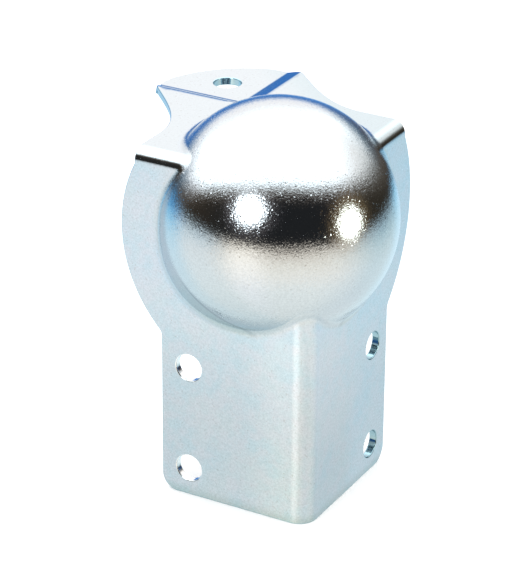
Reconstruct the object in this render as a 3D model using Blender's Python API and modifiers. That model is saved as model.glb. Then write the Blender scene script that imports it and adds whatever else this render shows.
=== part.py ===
"""Flight-case ball corner with an integral corner brace.

One deep-drawn pressing of zinc-plated steel sheet: a ball over the case corner, two legs down the
vertical edge, two strips along the top edges and a joggled rivet tab on the top panel.

Corner coordinates: the three outer faces would meet at the origin. The left plate is on y = 0 and
faces -Y, the right plate is on x = 0 and faces +X, the top plate is on z = 0 and faces +Z. The body
lies at x < 0, y > 0, z < 0, and it is symmetric about the vertical plane x = -y. A distance along a
plate, away from the vertical edge, is called a reach.
"""
import math

import bmesh
import bpy
import numpy as np

MM = 0.001

# Sheet and bends
THICKNESS = 1.5 * MM
EDGE_BEND = 3.5 * MM            # outer radius of the vertical bend
TOP_BEND = 2.5 * MM             # outer radius of the two bends under the top plate

# Ball. Past its widest circle, its wall runs straight along the corner's diagonal, as it is drawn.
BALL_RADIUS = 21.5 * MM
BALL_INSET = 14.1 * MM          # from each side plate's outer face to the ball's centre
BALL_DROP = 13.6 * MM           # from the top plate's outer face to the ball's centre
FILLET = 0.7 * MM               # hollow fillet where the ball meets the sheet
CORNER_CUT = 1.5 * MM           # the sheet's own corner stays this far inside the ball

# Legs
LEG_LENGTH = 66.0 * MM
LEG_WIDTH = 30.0 * MM
LEG_CORNER = 3.2 * MM

# Rounded cheek of each side plate, beside the ball
CHEEK_RADIUS = 27.1 * MM
CHEEK_REACH = 11.0 * MM
CHEEK_DROP = 15.0 * MM
CHEEK_TO_LEG = 2.0 * MM         # radius in the notch between cheek and leg

# Top plate: strips over the case edges, and the lowered rivet tab
STRIP_END = 35.2 * MM
STRIP_STRAIGHT = 8.5 * MM       # how far the strip's end runs square to the edge
STRIP_HANDLE = 0.34             # curve handles to the ear, as a share of its chord
STRIP_STEPS = 9                 # segments in that curve
TAB_START = 27.6 * MM           # reach of the joggle's upper crease
TAB_DEPTH = 1.4 * MM
JOGGLE_RUN = 3.7 * MM
JOGGLE_CORNER = 3.0 * MM
JOGGLE_KNEE = 0.1               # softened share of the run at each crease
TAB_CENTRE = 28.4 * MM          # reach, both ways, of the tab arc's centre
TAB_RADIUS = 21.5 * MM
EAR_RADIUS = 9.3 * MM           # rounded ears where the strips meet the tab's arc
EAR_ANGLE = math.radians(22.5)
EAR_HEADING = math.radians(46.0)

# Rivet holes
HOLE_RADIUS = 2.6 * MM
LEG_HOLE_REACH = 24.4 * MM
LEG_HOLE_DROPS = (40.1 * MM, 60.5 * MM)
TAB_HOLE_REACH = 38.5 * MM

# Mesh spacing
CELL = 1.6 * MM
SPAN = 56.0 * MM                # blank size before trimming
BEND_LINES = (0.0, 0.8 * MM, 1.6 * MM)
ARC_STEP = math.radians(9.0)
HOLE_SIDES = 24
CLEAR = 2.0 * MM                # how far a cutter runs past what it cuts
BELOW_TAB = 0.02 * MM           # how far the top cutter starts below the tab's underside
SHARP_ZONE = (6.0 * MM, 16.0 * MM)  # the blank is unbent before pressing inside the first distance
INSIDE_BY = 1e-6                # depth below the formed surface that counts as inside, in metres
HALVINGS = 40                   # search steps to the formed surface
BISECT_WELD = 1e-7
OUTLINE_WELD = 1e-6

# Finish
PLATE_COLOUR = (0.72, 0.79, 0.83, 1.0)
PLATE_ROUGHNESS = 0.28

# Row frame: the origin is the centre of the bounding box's bottom
BALL_REACH = BALL_RADIUS - BALL_INSET
EAR_CENTRE = TAB_CENTRE + (TAB_RADIUS - EAR_RADIUS) * math.cos(EAR_ANGLE)
EAR_REACH = EAR_CENTRE + EAR_RADIUS
CORNER_X = (EAR_REACH - BALL_REACH) / 2
CORNER_POSITION = (CORNER_X, -CORNER_X, LEG_LENGTH)

BALL_CENTRE = np.array((-BALL_INSET, BALL_INSET, -BALL_DROP))
INWARD = np.array((-1.0, 1.0, -1.0)) / math.sqrt(3.0)


def clear_scene():
    for obj in list(bpy.data.objects):
        bpy.data.objects.remove(obj, do_unlink=True)


def new_collection(name):
    collection = bpy.data.collections.new(name)
    bpy.context.scene.collection.children.link(collection)
    return collection


def plated_steel():
    material = bpy.data.materials.new("blue_passivated_zinc")
    material.use_nodes = True
    shader = material.node_tree.nodes["Principled BSDF"]
    shader.inputs["Base Color"].default_value = PLATE_COLOUR
    shader.inputs["Metallic"].default_value = 1.0
    shader.inputs["Roughness"].default_value = PLATE_ROUGHNESS
    return material


# ---- The outer surface, as distances from it ----

def rounded_corner(a, b, radius):
    """Distance from two faces that meet in a convex bend; a and b are negative inside."""
    outside = np.hypot(np.maximum(a + radius, 0.0), np.maximum(b + radius, 0.0))
    inside = np.minimum(np.maximum(a, b) + radius, 0.0)
    return outside + inside - radius


def knee(value):
    """Zero below 0, the value above 0, with a soft change between."""
    soft = (value + JOGGLE_KNEE) ** 2 / (4 * JOGGLE_KNEE)
    return np.where(np.abs(value) < JOGGLE_KNEE, soft, np.maximum(value, 0.0))


def joggle_drop(x, y):
    """How far the top plate is lowered."""
    past_crease = -rounded_corner(x + TAB_START, TAB_START - y, JOGGLE_CORNER)
    share = past_crease / JOGGLE_RUN
    return TAB_DEPTH * (knee(share) - knee(share - 1))


def sheet_distance(points):
    """Distance from the bent sheet, with its corner cut off inside the ball."""
    x, y, z = points.T
    sides = rounded_corner(x, -y, EDGE_BEND)
    sheet = rounded_corner(sides, z + joggle_drop(x, y), TOP_BEND)
    cut_corner = (BALL_CENTRE - points) @ INWARD - (BALL_RADIUS - CORNER_CUT)
    return np.maximum(sheet, cut_corner)


def ball_distance(points):
    """Distance from the ball and the straight wall that runs on from its widest circle."""
    rays = points - BALL_CENTRE
    past_widest = np.maximum(rays @ INWARD, 0.0)
    return np.sqrt((rays * rays).sum(axis=1) - past_widest ** 2) - BALL_RADIUS


def formed_distance(points):
    """Distance from the sheet and the ball together, with the hollow fillet between them."""
    sheet = sheet_distance(points)
    ball = ball_distance(points)
    notch = np.hypot(np.maximum(FILLET - sheet, 0.0), np.maximum(FILLET - ball, 0.0))
    return np.maximum(FILLET, np.minimum(sheet, ball)) - notch


# ---- The pressing's skin ----

def lines(start, end):
    """Evenly spaced grid lines about one cell apart, with start left out."""
    count = max(1, round((end - start) / CELL))
    return [start + (end - start) * k / count for k in range(1, count + 1)]


def grid_lines():
    flat = list(BEND_LINES) + [TOP_BEND, EDGE_BEND]
    ball = lines(EDGE_BEND, BALL_INSET) + lines(BALL_INSET, TAB_START)
    joggle = lines(TAB_START, TAB_START + JOGGLE_RUN)
    return flat[1:] + ball + joggle


def blank():
    """Three square faces of a cube, cut into a grid, meeting at the case corner."""
    mesh = bmesh.new()
    bmesh.ops.create_cube(mesh, size=1.0)
    size = (SPAN, SPAN, LEG_LENGTH)
    bmesh.ops.translate(mesh, verts=mesh.verts, vec=(-0.5, 0.5, -0.5))
    bmesh.ops.scale(mesh, verts=mesh.verts, vec=size)
    outward = (1, -1, 1)
    far = [f for f in mesh.faces if sum(n * o for n, o in zip(f.normal, outward)) < 0]
    bmesh.ops.delete(mesh, geom=far, context="FACES")
    for axis, sign in enumerate(outward):
        for distance in grid_lines():
            place = [0.0, 0.0, 0.0]
            place[axis] = -sign * distance
            normal = [0.0, 0.0, 0.0]
            normal[axis] = 1.0
            everything = mesh.verts[:] + mesh.edges[:] + mesh.faces[:]
            bmesh.ops.bisect_plane(
                mesh, geom=everything, dist=BISECT_WELD, plane_co=place, plane_no=normal
            )
    return mesh


def round_bend(a, b, radius):
    """Moves points near the edge of two faces onto the bend between them."""
    near = (a > -radius) & (b > -radius)
    length = np.hypot(a + radius, b + radius)
    scale = np.where(near, radius / np.where(near, length, 1.0), 1.0)
    return (
        np.where(near, (a + radius) * scale - radius, a),
        np.where(near, (b + radius) * scale - radius, b),
    )


def bent(points):
    """Rounds the three bends and lowers the tab."""
    x, y, z = points.T.copy()
    left = y < -x
    top = z > -TOP_BEND
    x, back = round_bend(x, -y, EDGE_BEND)
    y = -back
    across, lowered = round_bend(np.where(left, -y, x), z, TOP_BEND)
    y = np.where(left & top, -across, y)
    x = np.where(~left & top, across, x)
    z = np.where(top, lowered - joggle_drop(x, y), z)
    return np.stack((x, y, z), axis=1)


def pushed_out(points):
    """The same points, moved along their rays from the ball's centre to the formed surface."""
    rays = points - BALL_CENTRE
    directions = rays / np.linalg.norm(rays, axis=1)[:, None]
    low = np.zeros(len(points))
    high = np.full(len(points), SPAN + LEG_LENGTH)
    for _ in range(HALVINGS):
        middle = (low + high) / 2
        short = formed_distance(BALL_CENTRE + directions * middle[:, None]) < 0
        low = np.where(short, middle, low)
        high = np.where(short, high, middle)
    return BALL_CENTRE + directions * low[:, None]


def press(points):
    """Bends the blank, lowers the tab, and pushes the ball out from its centre."""
    folded = bent(points)
    start, end = SHARP_ZONE
    share = np.clip((np.abs(points).max(axis=1) - start) / (end - start), 0.0, 1.0)
    sharp = 1.0 - share * share * (3 - 2 * share)
    source = folded + (points - folded) * sharp[:, None]
    pushed = (formed_distance(folded) < -INSIDE_BY) | (sharp > 0)
    return np.where(pushed[:, None], pushed_out(source), folded)


def pressing_skin(name):
    mesh = blank()
    points = np.array([v.co[:] for v in mesh.verts], dtype=float)
    for vertex, place in zip(mesh.verts, press(points)):
        vertex.co = place
    data = bpy.data.meshes.new(name)
    mesh.to_mesh(data)
    mesh.free()
    return bpy.data.objects.new(name, data)


# ---- Outlines, as (reach, drop) or (reach, reach) points ----

def arc(centre, radius, start, end):
    """Points along an arc, both ends included; angles in radians."""
    count = max(2, math.ceil(abs(end - start) / ARC_STEP))
    angles = [start + (end - start) * k / count for k in range(count + 1)]
    return [(centre[0] + radius * math.cos(a), centre[1] + radius * math.sin(a)) for a in angles]


def side_waste():
    """What is trimmed off a side plate, outside its cheek and leg."""
    drop_top = -(THICKNESS + TAB_DEPTH)
    top_angle = math.asin((CHEEK_DROP + drop_top) / CHEEK_RADIUS)
    notch_centre = LEG_WIDTH + CHEEK_TO_LEG
    notch_angle = math.acos((notch_centre - CHEEK_REACH) / (CHEEK_RADIUS + CHEEK_TO_LEG))
    notch_drop = -CHEEK_DROP - (CHEEK_RADIUS + CHEEK_TO_LEG) * math.sin(notch_angle)
    corner = (LEG_WIDTH - LEG_CORNER, LEG_CORNER - LEG_LENGTH)
    outline = arc((CHEEK_REACH, -CHEEK_DROP), CHEEK_RADIUS, top_angle, -notch_angle)
    outline += arc((notch_centre, notch_drop), CHEEK_TO_LEG, math.pi - notch_angle, math.pi)[1:]
    outline += arc(corner, LEG_CORNER, 0.0, -math.pi / 2)
    outline += [(corner[0], -LEG_LENGTH - CLEAR), (SPAN + CLEAR, -LEG_LENGTH - CLEAR)]
    return outline + [(SPAN + CLEAR, drop_top)]


def strip_end():
    """The end of one strip, from the bend to its ear: straight, then a curve out to the tab."""
    centre_y = TAB_CENTRE + (TAB_RADIUS - EAR_RADIUS) * math.sin(EAR_ANGLE)
    ear = arc((EAR_CENTRE, centre_y), EAR_RADIUS, EAR_HEADING - math.pi / 2, EAR_ANGLE)
    start = np.array((STRIP_END, STRIP_STRAIGHT))
    end = np.array(ear[0])
    heading = np.array((math.cos(EAR_HEADING), math.sin(EAR_HEADING)))
    handle = STRIP_HANDLE * np.linalg.norm(end - start)
    first = start + np.array((0.0, handle))
    second = end - heading * handle
    curve = []
    for k in range(STRIP_STEPS):
        t = k / STRIP_STEPS
        weights = ((1 - t) ** 3, 3 * t * (1 - t) ** 2, 3 * t ** 2 * (1 - t), t ** 3)
        point = sum(w * p for w, p in zip(weights, (start, first, second, end)))
        curve.append(tuple(point))
    return curve + ear


def top_waste():
    """What is trimmed off the top plate, outside its strips, ears and tab."""
    one_side = [(STRIP_END, -CLEAR)] + strip_end()
    tab = arc((TAB_CENTRE, TAB_CENTRE), TAB_RADIUS, EAR_ANGLE, math.pi / 2 - EAR_ANGLE)
    other_side = [(b, a) for a, b in reversed(one_side)]
    far = SPAN + CLEAR
    return one_side + tab[1:-1] + other_side + [(-CLEAR, far), (far, far), (far, -CLEAR)]


def circle(centre):
    return arc(centre, HOLE_RADIUS, 0.0, 2 * math.pi * (1 - 1 / HOLE_SIDES))


# ---- Cutters ----

def prism(name, outlines, to_corner, collection):
    """A closed prism from flat outlines; to_corner takes (a, b, height) to corner coordinates."""
    curve = bpy.data.curves.new(name, "CURVE")
    curve.dimensions = "2D"
    curve.fill_mode = "BOTH"
    curve.extrude = 0.5
    for outline in outlines:
        spline = curve.splines.new("POLY")
        spline.points.add(len(outline) - 1)
        spline.use_cyclic_u = True
        for point, (a, b) in zip(spline.points, outline):
            point.co = (a, b, 0.0, 1.0)
    flat = bpy.data.objects.new(name + "_outline", curve)
    collection.objects.link(flat)
    bpy.context.view_layer.update()
    evaluated = flat.evaluated_get(bpy.context.evaluated_depsgraph_get())
    data = bpy.data.meshes.new_from_object(evaluated)
    bpy.data.objects.remove(flat)
    mesh = bmesh.new()
    mesh.from_mesh(data)
    bmesh.ops.remove_doubles(mesh, verts=mesh.verts, dist=OUTLINE_WELD)
    for vertex in mesh.verts:
        vertex.co = to_corner(*vertex.co)
    mesh.to_mesh(data)
    mesh.free()
    cutter = bpy.data.objects.new(name, data)
    cutter.location = CORNER_POSITION
    cutter.hide_render = True
    cutter.display_type = "WIRE"
    collection.objects.link(cutter)
    return cutter


def left_plate(reach, drop, height):
    return -reach, 2 * CLEAR * height, drop


def right_plate(reach, drop, height):
    return 2 * CLEAR * height, reach, drop


def top_plate(reach_y, reach_x, height):
    """Heights run from the tab's underside to clear above the plate."""
    low = -(THICKNESS + TAB_DEPTH) - BELOW_TAB
    return -reach_x, reach_y, low + (height + 0.5) * 2 * CLEAR


def cutters(collection):
    leg_holes = [circle((LEG_HOLE_REACH, -drop)) for drop in LEG_HOLE_DROPS]
    side = [side_waste()] + leg_holes
    top = [top_waste(), circle((TAB_HOLE_REACH, TAB_HOLE_REACH))]
    return (
        prism("left_trim", side, left_plate, collection),
        prism("right_trim", side, right_plate, collection),
        prism("top_trim", top, top_plate, collection),
    )


def corner_pressing(collection, cutter_collection):
    part = pressing_skin("corner_pressing")
    part.location = CORNER_POSITION
    part.data.materials.append(plated_steel())
    collection.objects.link(part)
    sheet = part.modifiers.new("sheet", "SOLIDIFY")
    sheet.thickness = THICKNESS
    sheet.offset = -1.0
    sheet.use_even_offset = True
    for cutter in cutters(cutter_collection):
        trim = part.modifiers.new(cutter.name, "BOOLEAN")
        trim.operation = "DIFFERENCE"
        trim.solver = "EXACT"
        trim.object = cutter
    return part


clear_scene()
corner_pressing(new_collection("flight_case_ball_corner"), new_collection("cutters"))
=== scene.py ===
"""Looks for the flight-case ball corner: one smooth zinc-plated pressing, a pale floor and soft light.

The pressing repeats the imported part's shape on a fine mesh, with rounded cut edges. Corner
coordinates: the three outer faces would meet at the origin. The left plate is on y = 0 and faces
-Y, the right plate is on x = 0 and faces +X, the top plate is on z = 0 and faces +Z. The sheet lies
at x < 0, y > 0, z < 0, and the ball stands out past all three faces. A distance along a plate, away
from the vertical edge, is called a reach.
"""

import math

import bpy
import numpy as np
from mathutils import Matrix, Vector
from mathutils.geometry import delaunay_2d_cdt


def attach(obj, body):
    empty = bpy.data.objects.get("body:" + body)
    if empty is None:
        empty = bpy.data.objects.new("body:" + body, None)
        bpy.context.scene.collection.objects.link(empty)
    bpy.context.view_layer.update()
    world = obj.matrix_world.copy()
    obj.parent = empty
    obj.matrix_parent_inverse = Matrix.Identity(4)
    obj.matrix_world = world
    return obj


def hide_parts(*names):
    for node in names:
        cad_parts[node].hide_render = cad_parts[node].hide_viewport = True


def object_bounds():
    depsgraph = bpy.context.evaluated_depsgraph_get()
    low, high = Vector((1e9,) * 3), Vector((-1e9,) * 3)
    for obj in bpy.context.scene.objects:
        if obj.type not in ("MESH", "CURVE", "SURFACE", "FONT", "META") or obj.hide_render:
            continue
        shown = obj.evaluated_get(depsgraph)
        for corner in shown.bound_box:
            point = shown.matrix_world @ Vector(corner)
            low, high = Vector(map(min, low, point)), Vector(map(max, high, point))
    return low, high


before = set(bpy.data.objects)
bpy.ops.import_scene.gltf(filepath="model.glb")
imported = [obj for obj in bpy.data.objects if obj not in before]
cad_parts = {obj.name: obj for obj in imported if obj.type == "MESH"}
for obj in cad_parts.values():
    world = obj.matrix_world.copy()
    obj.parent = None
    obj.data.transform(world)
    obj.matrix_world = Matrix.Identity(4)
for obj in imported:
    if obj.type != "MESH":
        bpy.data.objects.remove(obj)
cad_low, cad_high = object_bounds()

MM = 0.001
PIECE = "zinc_plated_corner"
NODE = "corner_pressing"
CUT_MASK = "cut_edge"
INNER_MASK = "inner_face"
# painted shade in the fillet where the ball meets the sheet
CREASE_SHADE_MASK = "crease"
# a painted highlight on the left leg's hole walls
LIT_HOLE_MASK = "painted_lit_hole"

# ---- Sizes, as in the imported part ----
THICKNESS = 1.5 * MM
EDGE_BEND = 3.5 * MM
TOP_BEND = 2.5 * MM
BALL_RADIUS = 21.5 * MM
BALL_INSET = 14.1 * MM
BALL_DROP = 13.6 * MM
FILLET = 0.6 * MM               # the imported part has 0.7 mm
CORNER_CUT = 1.5 * MM
LEG_LENGTH = 66.0 * MM
LEG_WIDTH = 30.0 * MM
LEG_CORNER = 3.2 * MM
CHEEK_RADIUS = 27.1 * MM
CHEEK_REACH = 11.0 * MM
CHEEK_DROP = 15.0 * MM
CHEEK_TO_LEG = 2.0 * MM
STRIP_END = 35.2 * MM
STRIP_STRAIGHT = 8.5 * MM
TAB_START = 27.6 * MM
TAB_DEPTH = 1.4 * MM
JOGGLE_RUN = 3.7 * MM
JOGGLE_CORNER = 3.0 * MM
JOGGLE_KNEE = 0.1
TAB_CENTRE = 28.4 * MM
TAB_RADIUS = 21.5 * MM
EAR_RADIUS = 9.3 * MM
EAR_ANGLE = math.radians(22.5)
EAR_HEADING = math.radians(46.0)
HOLE_RADIUS = 2.6 * MM
LEG_HOLE_REACH = 24.4 * MM
LEG_HOLE_DROPS = (40.1 * MM, 60.5 * MM)
TAB_HOLE_REACH = 38.5 * MM
CURVE_PULL = 0.34               # how far each strip's curve keeps its end headings
CURVE_STEPS = 40

# ---- Fine mesh ----
PITCH = 0.4 * MM                # lattice spacing on the ball and across the bends
COARSE = 6                      # flat plates keep every sixth lattice point
ALONG_BEND = 3                  # along a bend, every third
BALL_ZONE = 20.5 * MM           # fine lattice this close to the ball's axis on each plate
RING_ZONE = (13.0 * MM, 19.0 * MM)     # twice as fine where the ball meets a plate
SEAM_FINE = 40.0 * MM           # a seam keeps every lattice place up to here
SIDE_SPAN = (40.0 * MM, LEG_LENGTH)
TOP_SPAN = (52.0 * MM, 52.0 * MM)
OUTLINE_STEP = 0.45 * MM
KEEP_OFF = 0.62                 # lattice points stay this share of the pitch away from an outline
RIM_RADIUS = 0.2 * MM           # rounding of the cut edges
RIM_STEPS = 4
SHARP_ZONE = (6.0 * MM, 16.0 * MM)     # the blank's corner stays unbent up to here, under the ball
HALVINGS = 44
SEARCH = 120.0 * MM
INSIDE_BY = 1e-7
GRADIENT_STEP = 2e-6
WELD = 1e-7
TINY_AREA = 1e-13
CROSSING_TOLERANCE = 1e-6
SHARPEST_TURN = 0.5             # caps how far a corner moves when an outline is moved in

BALL_CENTRE = np.array((-BALL_INSET, BALL_INSET, -BALL_DROP))
INWARD = np.array((-1.0, 1.0, -1.0)) / math.sqrt(3.0)
BALL_STANDS_OUT = BALL_RADIUS - BALL_INSET
CORNER = np.array((cad_high.x - BALL_STANDS_OUT, cad_low.y + BALL_STANDS_OUT, LEG_LENGTH))


# ---- The outer surface, as distances from it ----

def rounded_corner(a, b, radius):
    """Distance from two faces that meet in a convex bend; a and b are negative inside."""
    outside = np.hypot(np.maximum(a + radius, 0.0), np.maximum(b + radius, 0.0))
    inside = np.minimum(np.maximum(a, b) + radius, 0.0)
    return outside + inside - radius


def knee(value):
    """Zero below 0, the value above 0, with a soft change between."""
    soft = (value + JOGGLE_KNEE) ** 2 / (4 * JOGGLE_KNEE)
    return np.where(np.abs(value) < JOGGLE_KNEE, soft, np.maximum(value, 0.0))


def joggle_drop(x, y):
    """How far the top plate is lowered."""
    past_crease = -rounded_corner(x + TAB_START, TAB_START - y, JOGGLE_CORNER)
    share = past_crease / JOGGLE_RUN
    return TAB_DEPTH * (knee(share) - knee(share - 1))


def sheet_distance(points):
    """Distance from the bent sheet, with its corner cut off inside the ball."""
    x, y, z = points.T
    sides = rounded_corner(x, -y, EDGE_BEND)
    sheet = rounded_corner(sides, z + joggle_drop(x, y), TOP_BEND)
    cut_corner = (BALL_CENTRE - points) @ INWARD - (BALL_RADIUS - CORNER_CUT)
    return np.maximum(sheet, cut_corner)


def ball_distance(points):
    """Distance from the ball and the straight wall that runs on from its widest circle."""
    rays = points - BALL_CENTRE
    past_widest = np.maximum(rays @ INWARD, 0.0)
    return np.sqrt((rays * rays).sum(axis=1) - past_widest ** 2) - BALL_RADIUS


def formed_distance(points):
    """Distance from the sheet and the ball together, with the hollow fillet between them."""
    sheet = sheet_distance(points)
    ball = ball_distance(points)
    notch = np.hypot(np.maximum(FILLET - sheet, 0.0), np.maximum(FILLET - ball, 0.0))
    return np.maximum(FILLET, np.minimum(sheet, ball)) - notch


def outward_normals(points):
    """Unit gradient of the distance, by central differences."""
    columns = []
    for axis in range(3):
        shift = np.zeros(3)
        shift[axis] = GRADIENT_STEP
        columns.append(formed_distance(points + shift) - formed_distance(points - shift))
    gradient = np.stack(columns, axis=1)
    return gradient / np.linalg.norm(gradient, axis=1)[:, None]


# ---- Pressing the flat blank ----

def round_bend(a, b, radius):
    """Moves points near the edge of two faces onto the bend between them."""
    near = (a > -radius) & (b > -radius)
    length = np.hypot(a + radius, b + radius)
    scale = np.where(near, radius / np.where(near, length, 1.0), 1.0)
    return (
        np.where(near, (a + radius) * scale - radius, a),
        np.where(near, (b + radius) * scale - radius, b),
    )


def bent(points):
    """Rounds the three bends and lowers the tab."""
    x, y, z = points.T.copy()
    left = y < -x
    top = z > -TOP_BEND
    x, back = round_bend(x, -y, EDGE_BEND)
    y = -back
    across, lowered = round_bend(np.where(left, -y, x), z, TOP_BEND)
    y = np.where(left & top, -across, y)
    x = np.where(~left & top, across, x)
    z = np.where(top, lowered - joggle_drop(x, y), z)
    return np.stack((x, y, z), axis=1)


def smooth_share(value, start, end):
    """0 up to start, 1 from end on, and a smooth change between."""
    share = np.clip((value - start) / (end - start), 0.0, 1.0)
    return share * share * (3 - 2 * share)


def pushed_out(points):
    """The same points, moved along their rays from the ball's centre to the formed surface."""
    rays = points - BALL_CENTRE
    directions = rays / np.linalg.norm(rays, axis=1)[:, None]
    low = np.zeros(len(points))
    high = np.full(len(points), SEARCH)
    for _ in range(HALVINGS):
        middle = (low + high) / 2
        short = formed_distance(BALL_CENTRE + directions * middle[:, None]) < 0
        low = np.where(short, middle, low)
        high = np.where(short, high, middle)
    return BALL_CENTRE + directions * low[:, None]


def pressed(points):
    """Bends the blank, lowers the tab, and pushes the ball out from its centre."""
    folded = bent(points)
    sharp = 1.0 - smooth_share(np.abs(points).max(axis=1), *SHARP_ZONE)
    source = folded + (points - folded) * sharp[:, None]
    pushed = (formed_distance(folded) < -INSIDE_BY) | (sharp > 0)
    return np.where(pushed[:, None], pushed_out(source), folded)


# ---- Outlines of the flat blank ----

def arc(centre, radius, start, end):
    """Points along an arc, both ends included; angles in radians."""
    count = max(2, math.ceil(abs(end - start) * radius / OUTLINE_STEP))
    angles = [start + (end - start) * k / count for k in range(count + 1)]
    return [(centre[0] + radius * math.cos(a), centre[1] + radius * math.sin(a)) for a in angles]


def side_outline():
    """The free edge of a side plate, from the top seam round the cheek and leg to the edge seam."""
    drop_top = -(THICKNESS + TAB_DEPTH)
    top_angle = math.asin((CHEEK_DROP + drop_top) / CHEEK_RADIUS)
    notch_centre = LEG_WIDTH + CHEEK_TO_LEG
    notch_angle = math.acos((notch_centre - CHEEK_REACH) / (CHEEK_RADIUS + CHEEK_TO_LEG))
    notch_drop = -CHEEK_DROP - (CHEEK_RADIUS + CHEEK_TO_LEG) * math.sin(notch_angle)
    corner = (LEG_WIDTH - LEG_CORNER, LEG_CORNER - LEG_LENGTH)
    outline = [(STRIP_END, 0.0)]
    outline += arc((CHEEK_REACH, -CHEEK_DROP), CHEEK_RADIUS, top_angle, -notch_angle)
    outline += arc((notch_centre, notch_drop), CHEEK_TO_LEG, math.pi - notch_angle, math.pi)[1:]
    outline += arc(corner, LEG_CORNER, 0.0, -math.pi / 2)
    return outline + [(0.0, -LEG_LENGTH)]


def strip_end():
    """The end of one strip, from the bend to its ear: straight, then a curve out to the tab."""
    centre_y = TAB_CENTRE + (TAB_RADIUS - EAR_RADIUS) * math.sin(EAR_ANGLE)
    centre_x = TAB_CENTRE + (TAB_RADIUS - EAR_RADIUS) * math.cos(EAR_ANGLE)
    ear = arc((centre_x, centre_y), EAR_RADIUS, EAR_HEADING - math.pi / 2, EAR_ANGLE)
    start = np.array((STRIP_END, STRIP_STRAIGHT))
    end = np.array(ear[0])
    heading = np.array((math.cos(EAR_HEADING), math.sin(EAR_HEADING)))
    handle = CURVE_PULL * np.linalg.norm(end - start)
    first = start + np.array((0.0, handle))
    second = end - heading * handle
    curve = []
    for k in range(CURVE_STEPS):
        t = k / CURVE_STEPS
        weights = ((1 - t) ** 3, 3 * t * (1 - t) ** 2, 3 * t ** 2 * (1 - t), t ** 3)
        curve.append(tuple(sum(w * p for w, p in zip(weights, (start, first, second, end)))))
    return curve + ear


def top_outline():
    """The free edge of the top plate, from one seam round the ears and tab to the other seam."""
    one_side = [(STRIP_END, 0.0)] + strip_end()
    tab = arc((TAB_CENTRE, TAB_CENTRE), TAB_RADIUS, EAR_ANGLE, math.pi / 2 - EAR_ANGLE)
    return one_side + tab[1:-1] + [(b, a) for a, b in reversed(one_side)]


def subdivided(outline):
    """The same line with no stretch longer than two outline steps."""
    result = [outline[0]]
    for start, end in zip(outline, outline[1:]):
        count = max(1, math.ceil(math.dist(start, end) / (2 * OUTLINE_STEP)))
        for k in range(1, count + 1):
            result.append(tuple(s + (e - s) * k / count for s, e in zip(start, end)))
    return result


def moved_in(outline):
    """The line moved to its left by the rim's rounding."""
    points = np.array(outline)
    stretches = points[1:] - points[:-1]
    stretches /= np.linalg.norm(stretches, axis=1)[:, None]
    first = np.vstack((stretches[:1], stretches))
    second = np.vstack((stretches, stretches[-1:]))
    turn = first + second
    turn /= np.linalg.norm(turn, axis=1)[:, None]
    left = np.stack((-turn[:, 1], turn[:, 0]), axis=1)
    stretch = 1.0 / np.maximum((turn * first).sum(axis=1), SHARPEST_TURN)
    return points + RIM_RADIUS * left * stretch[:, None]


def hole(centre):
    """A rivet hole's loop, widened by the rim's rounding."""
    radius = HOLE_RADIUS + RIM_RADIUS
    count = math.ceil(2 * math.pi * radius / OUTLINE_STEP)
    return [
        (centre[0] + radius * math.cos(2 * math.pi * k / count),
         centre[1] + radius * math.sin(2 * math.pi * k / count))
        for k in range(count)
    ]


# ---- Meshing one plate ----

def seam(length):
    """Places along a seam: the lattice near the ball, then every third lattice place."""
    count = int(length / PITCH)
    near = int(SEAM_FINE / PITCH)
    places = [k for k in range(1, count) if k <= near or k % ALONG_BEND == 0]
    return [k * PITCH for k in places if length - k * PITCH > KEEP_OFF * PITCH]


def inside_loop(points, loop):
    """Even-odd test of many points against one closed loop."""
    x, y = points[:, 0][:, None], points[:, 1][:, None]
    x1, y1 = np.array(loop).T
    x2, y2 = np.roll(x1, -1), np.roll(y1, -1)
    spans = (y1 > y) != (y2 > y)
    rise = np.where(y2 == y1, 1.0, y2 - y1)
    crossing = x1 + (y - y1) * (x2 - x1) / rise
    return (spans & (x < crossing)).sum(axis=1) % 2 == 1


def lattice(size, ring_centre):
    """Candidate points inside a plate: fine on the ball, coarse on the flats."""
    i, j = np.meshgrid(np.arange(1, int(size[0] / PITCH)), np.arange(1, int(size[1] / PITCH)))
    i, j = i.ravel(), j.ravel()
    points = np.stack((i, j), axis=1) * PITCH
    away = np.linalg.norm(points - ring_centre, axis=1)
    by_edge = (points[:, 0] < EDGE_BEND + PITCH) & (j % ALONG_BEND == 0)
    by_top = (points[:, 1] < EDGE_BEND + PITCH) & (i % ALONG_BEND == 0)
    flat = (i % COARSE == 0) & (j % COARSE == 0)
    creases = (points > TAB_START - PITCH) & (points < TAB_START + JOGGLE_RUN + PITCH)
    joggle = creases.any(axis=1) & (points > TAB_START - JOGGLE_RUN).all(axis=1)
    is_top = size == TOP_SPAN
    keep = (away < BALL_ZONE) | by_edge | by_top | flat | (joggle & is_top)
    between = points[(away > RING_ZONE[0]) & (away < RING_ZONE[1])] + PITCH / 2
    return np.vstack((points[keep], between))


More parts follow.
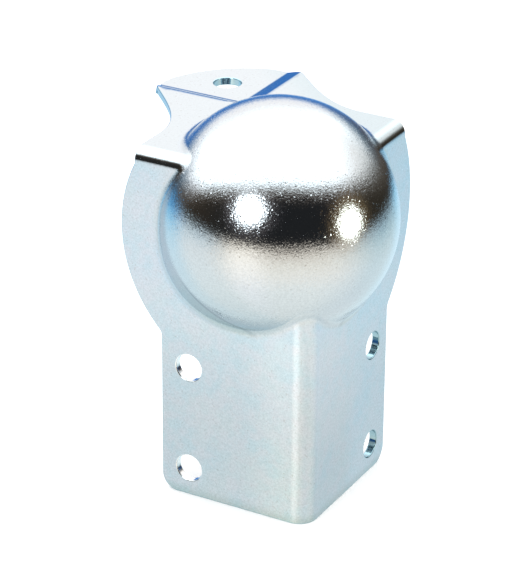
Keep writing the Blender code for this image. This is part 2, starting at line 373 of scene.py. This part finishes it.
def plate(outline, holes, size, ring_centre):
    """Triangles of one flat plate. All coordinates are distances from the plate's two seams."""
    first, last = outline[0], outline[-1]
    along_first = [(a, 0.0) for a in seam(first[0])]
    along_last = [(0.0, b) for b in seam(last[1])]
    loop = [(0.0, 0.0)] + along_first + [tuple(p) for p in outline] + along_last[::-1]
    borders = [loop] + holes
    free = np.vstack([np.array(outline)] + [np.array(h) for h in holes])
    points = lattice(size, ring_centre)
    points = points[inside_loop(points, loop)]
    for h in holes:
        points = points[~inside_loop(points, h)]
    nearest = np.array([np.hypot(*(free - p).T).min() for p in points])
    points = points[nearest > KEEP_OFF * PITCH]
    vertices = []
    edges = []
    for border in borders:
        start = len(vertices)
        vertices += [tuple(p) for p in border]
        edges += [(start + k, start + (k + 1) % len(border)) for k in range(len(border))]
    vertices += [tuple(p) for p in points]
    coords = [Vector((a / MM, b / MM)) for a, b in vertices]
    made = delaunay_2d_cdt(coords, edges, [], 0, CROSSING_TOLERANCE)
    flat = np.array([(v.x * MM, v.y * MM) for v in made[0]])
    faces = np.array([tuple(f) for f in made[2]])
    centres = flat[faces].mean(axis=1)
    keep = inside_loop(centres, loop)
    for h in holes:
        keep &= ~inside_loop(centres, h)
    faces = faces[keep]
    a, b, c = (flat[faces[:, k]] for k in range(3))
    area = (b - a)[:, 0] * (c - a)[:, 1] - (b - a)[:, 1] * (c - a)[:, 0]
    faces[area < 0] = faces[area < 0][:, ::-1]
    return flat, faces[np.abs(area) > TINY_AREA]


def joined(parts):
    """One mesh from several, with shared seam points merged."""
    points = np.vstack([p for p, _ in parts])
    offsets = np.cumsum([0] + [len(p) for p, _ in parts[:-1]])
    faces = np.vstack([f + o for (_, f), o in zip(parts, offsets)])
    keys = np.round(points / WELD).astype(np.int64)
    _, first, back = np.unique(keys, axis=0, return_index=True, return_inverse=True)
    faces = back.reshape(-1)[faces]
    points = points[first]
    used = np.unique(faces)
    renumber = np.full(len(points), -1)
    renumber[used] = np.arange(len(used))
    return points[used], renumber[faces]


def blank():
    """The three flat plates, meeting in sharp edges at the case corner."""
    side = moved_in(subdivided([(a, -b) for a, b in side_outline()]))
    top = moved_in(subdivided(top_outline()))
    side[0, 1] = side[-1, 0] = top[0, 1] = top[-1, 0] = 0.0
    leg_holes = [hole((LEG_HOLE_REACH, drop)) for drop in LEG_HOLE_DROPS]
    tab_hole = [hole((TAB_HOLE_REACH, TAB_HOLE_REACH))]
    flat, faces = plate(side, leg_holes, SIDE_SPAN, np.array((BALL_INSET, BALL_DROP)))
    reach, drop = flat.T
    zero = np.zeros(len(flat))
    left = np.stack((-reach, zero, -drop), axis=1)
    right = np.stack((zero, reach, -drop), axis=1)
    top_flat, top_faces = plate(top, tab_hole, TOP_SPAN, np.array((BALL_INSET, BALL_INSET)))
    upper = np.stack((-top_flat[:, 0], top_flat[:, 1], np.zeros(len(top_flat))), axis=1)
    return joined([(left, faces), (right, faces[:, ::-1]), (upper, top_faces[:, ::-1])])


# ---- The solid pressing ----

def border_loops(faces):
    """Ordered vertex loops of the open edges, in the faces' own direction."""
    edges = np.vstack((faces[:, [0, 1]], faces[:, [1, 2]], faces[:, [2, 0]]))
    known = set(map(tuple, edges.tolist()))
    follow = {a: b for a, b in known if (b, a) not in known}
    loops = []
    while follow:
        start, current = follow.popitem()
        loop = [start]
        while current != start:
            loop.append(current)
            current = follow.pop(current)
        loops.append(loop)
    return loops


def rim_profile():
    """(outward, down) offsets and normals round a cut edge, from the outer face to the inner."""
    upper = []
    for k in range(1, RIM_STEPS + 1):
        side = math.sin(math.pi / 2 * k / RIM_STEPS)
        rise = math.cos(math.pi / 2 * k / RIM_STEPS)
        upper.append((RIM_RADIUS * side, RIM_RADIUS * (1 - rise), side, rise))
    lower = [(out, THICKNESS - down, side, -rise) for out, down, side, rise in reversed(upper)]
    return upper + lower


def painted_crease_shade(outer):
    """Painted shade on the outer skin: how dark it is in the fillet, and low down at the ball's foot."""
    sheet, ball = sheet_distance(outer), ball_distance(outer)
    in_fillet = np.exp(-(np.hypot(sheet, ball) / CREASE_WIDTH) ** 2)
    foot = np.exp(-(sheet / FOOT_WIDTH) ** 2) * (ball < FILLET) * (sheet > INSIDE_BY)
    foot *= smooth_share(BALL_CENTRE[2] - outer[:, 2], *FOOT_FALL)
    return np.maximum(in_fillet, FOOT_SHARE * foot)


def pressing():
    """The fine mesh of the whole pressing, with its exact normals."""
    flat, skin = blank()
    outer = pressed(flat)
    normals = outward_normals(outer)
    count = len(outer)
    points = [outer, outer - THICKNESS * normals]
    directions = [normals, -normals]
    faces = skin.tolist() + (skin[:, ::-1] + count).tolist()
    profile = rim_profile()
    filled = 2 * count
    lit_hole_rows = []
    for loop in border_loops(skin):
        loop = np.array(loop)
        place, up = outer[loop], normals[loop]
        # The left leg's hole walls get a painted highlight.
        left_hole = np.ptp(place[:, 1]) < MM
        along = np.roll(place, -1, axis=0) - np.roll(place, 1, axis=0)
        out = np.cross(along, up)
        out /= np.linalg.norm(out, axis=1)[:, None]
        rows = [loop]
        for outward, down, side, rise in profile:
            points.append(place + out * outward - up * down)
            directions.append(out * side + up * rise)
            rows.append(np.arange(filled, filled + len(loop)))
            lit_hole_rows += list(rows[-1]) if left_hole else []
            filled += len(loop)
        rows.append(loop + count)
        for near, far in zip(rows, rows[1:]):
            quads = np.stack((near, far, np.roll(far, -1), np.roll(near, -1)), axis=1)
            faces += quads.tolist()
    mesh = bpy.data.meshes.new(PIECE)
    mesh.from_pydata((np.vstack(points) + CORNER).tolist(), [], faces)
    mesh.validate()
    mesh.shade_smooth()
    mesh.normals_split_custom_set_from_vertices(np.vstack(directions).tolist())
    number = np.arange(filled)
    masks = {
        LIT_HOLE_MASK: np.isin(number, lit_hole_rows),
        CUT_MASK: number >= 2 * count,
        INNER_MASK: (number >= count) & (number < 2 * count),
        CREASE_SHADE_MASK: np.append(painted_crease_shade(outer), np.zeros(filled - count)),
    }
    for name, values in masks.items():
        mesh.attributes.new(name, "FLOAT", "POINT").data.foreach_set("value", values.astype(float))
    piece = bpy.data.objects.new(PIECE, mesh)
    collection = bpy.data.collections.new("flight_case_ball_corner")
    bpy.context.scene.collection.children.link(collection)
    collection.objects.link(piece)
    return piece


# ---- Shader nodes ----

MIX_FIRST, MIX_SECOND, MIX_RESULT = 6, 7, 2          # the colour sockets of a Mix node


def linear(red, green, blue):
    """A screen colour, 0 to 255, as linear light."""
    def one(value):
        value /= 255
        return value / 12.92 if value < 0.04045 else ((value + 0.055) / 1.055) ** 2.4
    return (one(red), one(green), one(blue), 1.0)


class Nodes:
    """Short calls that add nodes to one tree. Each value is another node's output or a constant."""

    def __init__(self, tree):
        self.tree = tree

    def add(self, kind, inputs=(), **settings):
        """A node with its settings, and its inputs by name or number."""
        node = self.tree.nodes.new(kind)
        for name, value in settings.items():
            setattr(node, name, value)
        for key, value in dict(inputs).items():
            self.put(node.inputs[key], value)
        return node

    def put(self, socket, value):
        if isinstance(value, bpy.types.NodeSocket):
            self.tree.links.new(value, socket)
        else:
            socket.default_value = value

    def math(self, operation, *values):
        return self.add("ShaderNodeMath", enumerate(values), operation=operation).outputs[0]

    def vector(self, operation, *values):
        node = self.add("ShaderNodeVectorMath", enumerate(values), operation=operation)
        return node.outputs["Vector"]

    def scaled(self, vector, factor):
        node = self.add("ShaderNodeVectorMath", {0: vector, "Scale": factor}, operation="SCALE")
        return node.outputs["Vector"]

    def measure(self, operation, *values):
        """A number from vectors: their distance, dot product or length."""
        node = self.add("ShaderNodeVectorMath", enumerate(values), operation=operation)
        return node.outputs["Value"]

    def soft(self, value, start, end, at_start=0.0, at_end=1.0):
        """One number up to start, another from end on, and a smooth change between."""
        inputs = {"Value": value, "From Min": start, "From Max": end, "To Min": at_start, "To Max": at_end}
        return self.add("ShaderNodeMapRange", inputs, interpolation_type="SMOOTHSTEP").outputs["Result"]

    def mix(self, share, first, second):
        """The first colour at share 0, the second at share 1."""
        node = self.add("ShaderNodeMix", data_type="RGBA")
        self.put(node.inputs["Factor"], share)
        self.put(node.inputs[MIX_FIRST], first)
        self.put(node.inputs[MIX_SECOND], second)
        return node.outputs[MIX_RESULT]

    def noise(self, place, scale, detail, roughness=0.5):
        inputs = {"Vector": place, "Scale": scale, "Detail": detail, "Roughness": roughness}
        return self.add("ShaderNodeTexNoise", inputs).outputs["Fac"]


# ---- Plating ----

BLUE_TINT = (0.445, 0.585, 0.690, 1.0)       # the plates: clouds of blue and pearl, rose patches
PEARL_TINT = (0.480, 0.590, 0.675, 1.0)
ROSE_TINT = (0.525, 0.585, 0.680, 1.0)
BALL_TINT = (0.500, 0.565, 0.600, 1.0)
TOP_TINT = (0.508, 0.592, 0.632, 1.0)        # the strips and the tab
WALL_SHADE_TINT = (0.430, 0.530, 0.545, 1.0)       # painted shade on the ball's straight wall, low down
DARK_LINE_SHADE_TINT = (0.28, 0.34, 0.37, 1.0)     # painted shade: a dark line where the ball's curve turns into that wall
CREASE_SHADE_TINT = (0.35, 0.435, 0.485, 1.0)      # painted shade in the fillet where the ball meets the sheet, and at the ball's foot
INNER_TINT = (0.52, 0.55, 0.57, 1.0)         # the side towards the case
CUT_TINT = (0.32, 0.49, 0.57, 1.0)           # sheared edges and hole walls
LIT_HOLE_TINT = (0.80, 0.86, 0.90, 1.0)        # painted highlight: the left leg's hole walls, lighter as if lit
SPECK_TINT = (0.33, 0.35, 0.36, 1.0)

BALL_EDGE = (21.6 * MM, 22.6 * MM)           # distance from the ball's centre at which it gives way
QUIET_GRAIN = (63.6 * MM, 64.4 * MM)         # above this height the grain is fainter
QUIET_SHARE = 0.35
# Painted shade low on the ball's straight wall.
WALL_BLEND = 0.35 * MM
WALL_LEVEL = (47.0 * MM, 38.0 * MM)
# A painted dark line of shade where the ball's curve turns into its wall.
DARK_LINE_SHADE_SPAN = (0.20 * MM, 0.70 * MM)
DARK_LINE_SHADE_LEVEL = (46.5 * MM, 41.5 * MM)
DARK_LINE_SHADE_SHARE = 0.85
# Painted shade in the fillet and low on the ball's foot.
CREASE_WIDTH = 0.3 * MM
FOOT_WIDTH = 1.3 * MM
FOOT_FALL = (11.0 * MM, 17.0 * MM)           # below the ball's centre
FOOT_SHARE = 0.5

CLOUDS = (95.0, 3.0)                         # scale, detail and roughness of each noise
PATCHES = (420.0, 4.0, 0.6)
SPECKS = (2300.0, 2.0)
GRAIN = (2900.0, 2.0, 0.6)
SHEEN = (700.0, 3.0)
PEEL = (3500.0, 2.5, 0.6)
CLOUD_SHARE = (0.38, 0.62)                   # the noise from and to, then what it becomes
PATCH_SHARE = (0.35, 0.65, 0.0, 0.6)
SPECK_SHARE = (0.64, 0.72, 0.0, 0.4)
ROUGHNESS = (0.3, 0.7, 0.045, 0.085)
PEEL_DEPTH = 0.024 * MM
FLAT_PEEL = 0.3                              # the plates' peel, as a share of the ball's
FLAKE_SCALE = 5200.0                         # single crystals of zinc that glint
FLAKE_TILT = 0.55
FLAKE_RARITY = 4.0
GRAIN_SHADE = 0.19
LOW_LEGS = (46.0 * MM, 16.0 * MM)
LOW_SHADE = 0.17

# Painted highlight and shade on the plates, as factors on the tint, by place across the legs and by height:
# a painted highlight beside the bend that turns to painted shade low on the right leg, and darker tints on
# the right cheek and along the last of each leg.
LEFT_GLOW = (-15.0 * MM, -4.0 * MM)          # the painted highlight beside the bend fades in, from the left
RIGHT_GLOW = (20.0 * MM, 12.0 * MM)          # and from the right
GLOW_SWAP = (-1.0 * MM, 5.0 * MM)
BEND_LINE = 2.6 * MM
BEND_WASH = (0.98, 1.01, 1.01, 1.0)
# Away from the bend, then left and right of it.
LEG_WASH = ((1.02, 1.03, 1.01, 1.0), (1.14, 1.14, 1.10, 1.0), (1.13, 1.04, 0.98, 1.0))
FOOT_WASH = ((0.97, 0.99, 0.97, 1.0), (1.10, 1.11, 1.02, 1.0), (0.93, 0.91, 0.87, 1.0))
PLAIN_WASH = (1.0, 1.0, 1.0, 1.0)
CHEEK_WASH = (0.89, 0.95, 0.96, 1.0)         # the right cheek, away from the ball
CHEEK_EDGE = (8.0 * MM, 20.0 * MM)
END_WASH = (0.80, 0.84, 0.80)                # the last of each leg
LEG_LEVEL = (44.0 * MM, 32.0 * MM)           # heights between which one wash gives way to the next
FOOT_LEVEL = (24.0 * MM, 6.0 * MM)
END_LEVEL = (0.0, 2.4 * MM)


def painted_light_wash(nodes, across, height):
    """Painted highlight and shade on the plates, as broad changes of the plating's colour."""
    side = nodes.soft(across, *GLOW_SWAP)
    beside = nodes.math("MULTIPLY", nodes.soft(across, *LEFT_GLOW), nodes.soft(across, *RIGHT_GLOW))
    on_bend = nodes.soft(nodes.math("ABSOLUTE", across), 0.0, BEND_LINE, 1.0, 0.0)

    def level(plain, left, right):
        glow = nodes.mix(side, left, right)
        return nodes.mix(on_bend, nodes.mix(beside, plain, glow), BEND_WASH)

    cheeks = nodes.mix(nodes.soft(across, *CHEEK_EDGE), PLAIN_WASH, CHEEK_WASH)
    wash = nodes.mix(nodes.soft(height, *LEG_LEVEL), cheeks, level(*LEG_WASH))
    wash = nodes.mix(nodes.soft(height, *FOOT_LEVEL), wash, level(*FOOT_WASH))
    return nodes.mix(nodes.soft(height, *END_LEVEL), nodes.vector("MULTIPLY", wash, END_WASH), wash)


def plating_tint(nodes, place, height, off_ball):
    """The plating's colour, from the plates and the ball to the painted shade on the ball's wall, its dark
    line and the crease, the edges with a painted highlight in the left leg's holes, and the specks.
    """
    clouds = nodes.soft(nodes.noise(place, *CLOUDS), *CLOUD_SHARE)
    tint = nodes.mix(clouds, BLUE_TINT, PEARL_TINT)
    patches = nodes.soft(nodes.noise(place, *PATCHES), *PATCH_SHARE)
    tint = nodes.mix(patches, tint, ROSE_TINT)
    tint = nodes.mix(off_ball, BALL_TINT, tint)
    tint = nodes.mix(nodes.math("MULTIPLY", nodes.soft(height, *QUIET_GRAIN), off_ball), tint, TOP_TINT)
    from_ball = nodes.vector("SUBTRACT", place, tuple(CORNER + BALL_CENTRE))
    past_widest = nodes.measure("DOT_PRODUCT", from_ball, tuple(INWARD))
    on_ball = nodes.math("SUBTRACT", 1.0, off_ball)
    # Painted shade: the wall darkens low down.
    wall = nodes.math("MULTIPLY", nodes.soft(past_widest, 0.0, WALL_BLEND), nodes.soft(height, *WALL_LEVEL))
    tint = nodes.mix(nodes.math("MULTIPLY", wall, on_ball), tint, WALL_SHADE_TINT)
    # Painted shade: a dark line where the ball's curve meets its wall.
    line = nodes.soft(nodes.math("ABSOLUTE", past_widest), *DARK_LINE_SHADE_SPAN, DARK_LINE_SHADE_SHARE, 0.0)
    line = nodes.math("MULTIPLY", line, nodes.soft(height, *DARK_LINE_SHADE_LEVEL))
    tint = nodes.mix(nodes.math("MULTIPLY", line, on_ball), tint, DARK_LINE_SHADE_TINT)
    # Painted shade in the crease, and a painted highlight on the left leg's hole walls.
    layers = (
        (CREASE_SHADE_MASK, CREASE_SHADE_TINT), (INNER_MASK, INNER_TINT),
        (CUT_MASK, CUT_TINT), (LIT_HOLE_MASK, LIT_HOLE_TINT),
    )
    for name, masked in layers:
        mask = nodes.add("ShaderNodeAttribute", attribute_name=name)
        tint = nodes.mix(mask.outputs["Fac"], tint, masked)
    specks = nodes.soft(nodes.noise(place, *SPECKS), *SPECK_SHARE)
    return nodes.mix(specks, tint, SPECK_TINT)


def brightness(nodes, place, height):
    """The fine grain, and the darker feet of the legs."""
    shade = nodes.soft(height, *LOW_LEGS, 1.0, 1.0 - LOW_SHADE)
    strength = nodes.soft(height, *QUIET_GRAIN, 2 * GRAIN_SHADE, 2 * GRAIN_SHADE * QUIET_SHARE)
    grain = nodes.math("SUBTRACT", nodes.noise(place, *GRAIN), 0.5)
    return nodes.math("SUBTRACT", shade, nodes.math("MULTIPLY", grain, strength))


def plating_normal(nodes, place, peel):
    """Orange peel, and crystals that lean a little, a few of them far."""
    inputs = {"Distance": PEEL_DEPTH, "Strength": peel, "Height": nodes.noise(place, *PEEL)}
    bump = nodes.add("ShaderNodeBump", inputs)
    crystals = nodes.add("ShaderNodeTexVoronoi", {"Scale": FLAKE_SCALE, "Vector": place})
    lean = nodes.vector("SUBTRACT", crystals.outputs["Color"], (0.5, 0.5, 0.5))
    rare = nodes.math("POWER", nodes.measure("LENGTH", lean), FLAKE_RARITY)
    tilt = nodes.math("MULTIPLY", nodes.math("MULTIPLY", rare, FLAKE_TILT), peel)
    facet = nodes.vector("ADD", bump.outputs["Normal"], nodes.scaled(lean, tilt))
    return nodes.vector("NORMALIZE", facet)


def zinc_plate():
    """Blue-passivated zinc on a drawn steel surface, with painted highlight and shade."""
    material = bpy.data.materials.new("blue_passivated_zinc")
    material.use_nodes = True
    nodes = Nodes(material.node_tree)
    shader = material.node_tree.nodes["Principled BSDF"]
    shader.inputs["Metallic"].default_value = 1.0
    place = nodes.add("ShaderNodeTexCoord").outputs["Object"]
    parts = nodes.add("ShaderNodeSeparateXYZ", {0: place}).outputs
    height = parts["Z"]
    across = nodes.math("SUBTRACT", nodes.math("ADD", parts["X"], parts["Y"]), CORNER[0] + CORNER[1])
    from_centre = nodes.measure("DISTANCE", place, tuple(CORNER + BALL_CENTRE))
    off_ball = nodes.soft(from_centre, *BALL_EDGE)
    tint = plating_tint(nodes, place, height, off_ball)
    # painted highlight and shade on the plates
    tint = nodes.vector("MULTIPLY", tint, painted_light_wash(nodes, across, height))
    nodes.put(shader.inputs["Base Color"], nodes.scaled(tint, brightness(nodes, place, height)))
    sheen = nodes.soft(nodes.noise(place, *SHEEN), *ROUGHNESS)
    nodes.put(shader.inputs["Roughness"], sheen)
    peel = nodes.soft(from_centre, *BALL_EDGE, 1.0, FLAT_PEEL)
    nodes.put(shader.inputs["Normal"], plating_normal(nodes, place, peel))
    return material


# ---- Floor, light and camera ----

FLOOR_SIZE = 4.0
FLOOR_COLOUR = (0.9, 0.9, 0.9, 1.0)
FLOOR_ROUGHNESS = 0.9

VIEW_AZIMUTH = math.radians(29.0)
VIEW_ELEVATION = math.radians(25.72)
VIEW_ROLL = math.radians(0.42)
VIEW_DISTANCE = 457.9 * MM      # from the case corner, along the view
VIEW_RIGHT = -9.47 * MM
VIEW_UP = -17.48 * MM
LENS = 167.4
SENSOR = 36.0
NEAREST = 10.0 * MM


def floor():
    """A wide pale floor that mirrors in nothing."""
    mesh = bpy.data.meshes.new("floor")
    half = FLOOR_SIZE / 2
    corners = [(-half, -half, 0), (half, -half, 0), (half, half, 0), (-half, half, 0)]
    mesh.from_pydata(corners, [], [(0, 1, 2, 3)])
    obj = bpy.data.objects.new("floor", mesh)
    bpy.context.scene.collection.objects.link(obj)
    material = bpy.data.materials.new("pale_floor")
    material.use_nodes = True
    shader = material.node_tree.nodes["Principled BSDF"]
    shader.inputs["Base Color"].default_value = FLOOR_COLOUR
    shader.inputs["Roughness"].default_value = FLOOR_ROUGHNESS
    mesh.materials.append(material)
    obj.visible_glossy = False


# The room that the plating mirrors. A ramp gives screen colours by elevation in degrees, as they
# look in the ball. They were listed from averages of the photo's reflections, then adjusted.
# Azimuths are in degrees too: 0 is towards the camera, and they grow to its right.
SKY_STRENGTH = 2.41
PLAIN_STRENGTH = 1.8            # the white light on everything else
WHITE = (255, 255, 255)
FRONT = ((-90, (203, 214, 216)), (-50, (218, 227, 228)), (-35, (225, 227, 223)), (-25, (221, 222, 215)),
         (-18, (213, 211, 203)), (-12, (190, 186, 177)), (-8, (160, 155, 147)), (-3, (112, 108, 102)),
         (6, (60, 58, 56)), (30, WHITE))
CREAM = ((-90, (201, 214, 217)), (-50, (224, 231, 235)), (-35, (237, 239, 237)), (-25, (244, 244, 239)),
         (-14, (240, 238, 230)), (-9, (216, 212, 202)), (-3, (150, 146, 138)), (30, WHITE))
LEFT = ((-90, (190, 207, 213)), (-55, (207, 220, 223)), (-35, (212, 224, 228)), (-20, (210, 220, 224)),
        (-12, (190, 207, 215)), (-8, (166, 182, 191)), (-3, (92, 106, 112)), (8, (150, 160, 165)),
        (15, (225, 232, 238)), (25, WHITE))
GLOW = ((-90, (186, 203, 209)), (-50, (192, 213, 221)), (-30, (188, 214, 227)), (-20, (172, 209, 228)),
        (-13, (128, 188, 222)), (-8, (82, 146, 196)), (-3, (62, 112, 150)), (3, (58, 84, 104)),
        (10, (130, 150, 165)), (17, (225, 232, 238)), (27, WHITE))
RIGHT = ((-90, (197, 211, 215)), (-50, (197, 212, 219)), (-35, (200, 216, 223)), (-27, (193, 210, 216)),
         (-22, (182, 203, 211)), (-17, (162, 187, 198)), (-11, (133, 156, 170)), (0, (130, 140, 145)),
         (15, (205, 207, 208)), (30, (238, 239, 240)), (48, WHITE))
BACK = ((-90, (165, 183, 190)), (-45, (176, 200, 211)), (-26, (170, 201, 218)), (-18, (140, 178, 208)),
        (-11, (80, 132, 190)), (-2, (46, 98, 166)), (4, (66, 112, 170)), (9, (160, 182, 210)),
        (15, (228, 232, 237)), (26, (234, 238, 241)), (48, WHITE))

SIDES = (-60.0, 60.0)                        # LEFT gives way to RIGHT
GLOW_SIDES = ((-92.0, -124.0), (126.0, 154.0))
FRONT_SIDES = ((-82.0, -30.0), (118.0, 40.0))
BACK_SIDES = ((-125.0, -165.0), (150.0, 172.0))
WINDOW_AZIMUTH = -33.0                       # CREAM's middle, and how far it reaches
WINDOW_REACH = (30.0, 3.0)

BAND_SWING = 27.0               # the dark band's top edge, highest towards the camera
BAND_MIDDLE = 25.0
BAND_LATER = 0.05               # its fall comes this share later on the right
BAND_LATER_SIDE = (0.0, 90.0)
BAND_DIP = 7.0
BAND_DIP_SIDE = (-70.0, -112.0)
BAND_TOP_BLUR = (9.0, -9.0)
BAND_FOOT = -5.0                # its bottom edge
BAND_FOOT_SLOPE = -0.035
BAND_FOOT_DROP = 6.0
BAND_FOOT_DROP_SIDE = (140.0, 172.0)
BAND_FOOT_BLUR = (-4.5, 3.5)
BAND_ENDS = ((-140.0, -114.0), (176.0, 160.0))
BROWN_BLUR = (-4.0, -17.0)      # brown below the top edge, then dark
UMBER_SIDE = (40.0, 95.0)
BROWN = (80, 74, 68)
DARK = (29, 31, 33)
UMBER = (46, 42, 36)

LAMPS = (                       # azimuth, elevation, radius, colour, colour of the haze round it
    (-31.0, 26.0, 11.3, WHITE, (150, 146, 150)),
    (70.0, 3.5, 9.6, (255, 250, 236), (186, 160, 120)),
)
LAMP_LIGHT = 3.0
LAMP_BLUR = 0.07
HAZE_REACH = 0.3
HAZE_SHARE = 0.3


def seen_in_metal(colour):
    """The light that looks this colour once the plating has reflected it."""
    if colour == WHITE:
        return (1.0, 1.0, 1.0, 1.0)
    light = [c / (t * SKY_STRENGTH) for c, t in zip(linear(*colour)[:3], BALL_TINT)]
    return (*light, 1.0)


def by_elevation(nodes, elevation, stops):
    """One of the ramps above, over the whole range from -90 to 90 degrees."""
    place = nodes.math("MULTIPLY_ADD", elevation, 1 / 180, 0.5)
    ramp = nodes.add("ShaderNodeValToRGB", {0: place})
    elements = ramp.color_ramp.elements
    elements.remove(elements[1])
    elements[0].position = 0.0
    elements[0].color = seen_in_metal(stops[0][1])
    for stop, colour in stops[1:]:
        elements.new(stop / 180 + 0.5).color = seen_in_metal(colour)
    return ramp.outputs["Color"]


def room(nodes, azimuth, elevation):
    """The table below and the white ceiling above, on all sides."""
    def either(operation, sides):
        return nodes.math(operation, *(nodes.soft(azimuth, *side) for side in sides))

    left, right, glow, front, cream, back = (
        by_elevation(nodes, elevation, stops) for stops in (LEFT, RIGHT, GLOW, FRONT, CREAM, BACK)
    )
    colour = nodes.mix(nodes.soft(azimuth, *SIDES), left, right)
    colour = nodes.mix(either("MAXIMUM", GLOW_SIDES), colour, glow)
    colour = nodes.mix(either("MINIMUM", FRONT_SIDES), colour, front)
    from_window = nodes.math("ABSOLUTE", nodes.math("SUBTRACT", azimuth, WINDOW_AZIMUTH))
    colour = nodes.mix(nodes.soft(from_window, *WINDOW_REACH), colour, cream)
    return nodes.mix(either("MAXIMUM", BACK_SIDES), colour, back)


def with_dark_band(nodes, colour, turn, azimuth, elevation):
    """The dark part of the room, a band that is high on the camera's side and low behind."""
    later = nodes.math("MULTIPLY", nodes.soft(azimuth, *BAND_LATER_SIDE), -BAND_LATER)
    swing = nodes.math("COSINE", nodes.math("MULTIPLY", turn, nodes.math("ADD", 1.0, later)))
    top = nodes.math("MULTIPLY_ADD", swing, BAND_SWING, BAND_MIDDLE)
    top = nodes.math("SUBTRACT", top, nodes.soft(azimuth, *BAND_DIP_SIDE, 0.0, BAND_DIP))
    foot = nodes.math("MULTIPLY_ADD", azimuth, BAND_FOOT_SLOPE, BAND_FOOT)
    foot = nodes.math("SUBTRACT", foot, nodes.soft(azimuth, *BAND_FOOT_DROP_SIDE, 0.0, BAND_FOOT_DROP))
    above_top = nodes.math("SUBTRACT", elevation, top)
    above_foot = nodes.math("SUBTRACT", elevation, foot)
    share = nodes.soft(above_top, *BAND_TOP_BLUR)
    share = nodes.math("MULTIPLY", share, nodes.soft(above_foot, *BAND_FOOT_BLUR))
    for end in BAND_ENDS:
        share = nodes.math("MULTIPLY", share, nodes.soft(azimuth, *end))
    aside = nodes.soft(nodes.math("ABSOLUTE", azimuth), *UMBER_SIDE)
    deep = nodes.mix(aside, seen_in_metal(DARK), seen_in_metal(UMBER))
    band = nodes.mix(nodes.soft(above_top, *BROWN_BLUR), seen_in_metal(BROWN), deep)
    return nodes.mix(share, colour, band)


def with_lamps(nodes, colour, direction):
    """Round lamps, each with a soft haze."""
    for azimuth, lift, radius, tone, haze_tone in LAMPS:
        turn = VIEW_AZIMUTH + math.radians(azimuth)
        rise = math.radians(lift)
        edge = math.radians(radius)
        aim = (math.sin(turn) * math.cos(rise), -math.cos(turn) * math.cos(rise), math.sin(rise))
        closeness = nodes.measure("DOT_PRODUCT", direction, aim)
        haze = nodes.soft(closeness, math.cos(edge + HAZE_REACH), math.cos(edge), 0.0, HAZE_SHARE)
        colour = nodes.mix(haze, colour, seen_in_metal(haze_tone))
        lit = nodes.soft(closeness, math.cos(edge + LAMP_BLUR), math.cos(edge - LAMP_BLUR))
        bright = tuple(LAMP_LIGHT * c for c in linear(*tone)[:3])
        colour = nodes.mix(lit, colour, (*bright, 1.0))
    return colour


def sky():
    """The room for what mirrors it, and plain white light for the rest."""
    world = bpy.data.worlds.new("studio")
    bpy.context.scene.world = world
    world.use_nodes = True
    world.cycles.sampling_method = "NONE"
    world.node_tree.nodes.clear()
    nodes = Nodes(world.node_tree)
    direction = nodes.add("ShaderNodeTexCoord").outputs["Generated"]
    sine, cosine = math.sin(VIEW_AZIMUTH), math.cos(VIEW_AZIMUTH)
    forward = nodes.measure("DOT_PRODUCT", direction, (sine, -cosine, 0.0))
    sideways = nodes.measure("DOT_PRODUCT", direction, (cosine, sine, 0.0))
    height = nodes.measure("DOT_PRODUCT", direction, (0.0, 0.0, 1.0))
    turn = nodes.math("ARCTAN2", sideways, forward)
    azimuth = nodes.math("MULTIPLY", turn, math.degrees(1.0))
    elevation = nodes.math("MULTIPLY", nodes.math("ARCSINE", height), math.degrees(1.0))
    colour = room(nodes, azimuth, elevation)
    colour = with_dark_band(nodes, colour, turn, azimuth, elevation)
    colour = with_lamps(nodes, colour, direction)
    mirrored = nodes.add("ShaderNodeBackground", {"Color": colour, "Strength": SKY_STRENGTH})
    white = (1.0, 1.0, 1.0, 1.0)
    plain = nodes.add("ShaderNodeBackground", {"Color": white, "Strength": PLAIN_STRENGTH})
    is_mirrored = nodes.add("ShaderNodeLightPath").outputs["Is Glossy Ray"]
    inputs = {0: is_mirrored, 1: plain.outputs[0], 2: mirrored.outputs[0]}
    chosen = nodes.add("ShaderNodeMixShader", inputs)
    nodes.add("ShaderNodeOutputWorld", {"Surface": chosen.outputs[0]})


def camera():
    """The photograph's view."""
    flat = math.cos(VIEW_ELEVATION)
    level = Vector((math.cos(VIEW_AZIMUTH), math.sin(VIEW_AZIMUTH), 0.0))
    back = Vector((level.y * flat, -level.x * flat, math.sin(VIEW_ELEVATION)))
    upward = back.cross(level)
    right = level * math.cos(VIEW_ROLL) + upward * math.sin(VIEW_ROLL)
    up = upward * math.cos(VIEW_ROLL) - level * math.sin(VIEW_ROLL)
    data = bpy.data.cameras.new("camera")
    data.sensor_width = SENSOR
    data.lens = LENS
    data.clip_start = NEAREST
    obj = bpy.data.objects.new("camera", data)
    place = back * VIEW_DISTANCE + right * VIEW_RIGHT + up * VIEW_UP + Vector(CORNER)
    obj.matrix_world = Matrix.Translation(place) @ Matrix((right, up, back)).transposed().to_4x4()
    bpy.context.scene.collection.objects.link(obj)
    bpy.context.scene.camera = obj


bpy.context.scene.view_settings.view_transform = "Standard"
camera()
floor()
sky()
corner = pressing()
corner.data.materials.append(zinc_plate())
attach(corner, "root")
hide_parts(NODE)
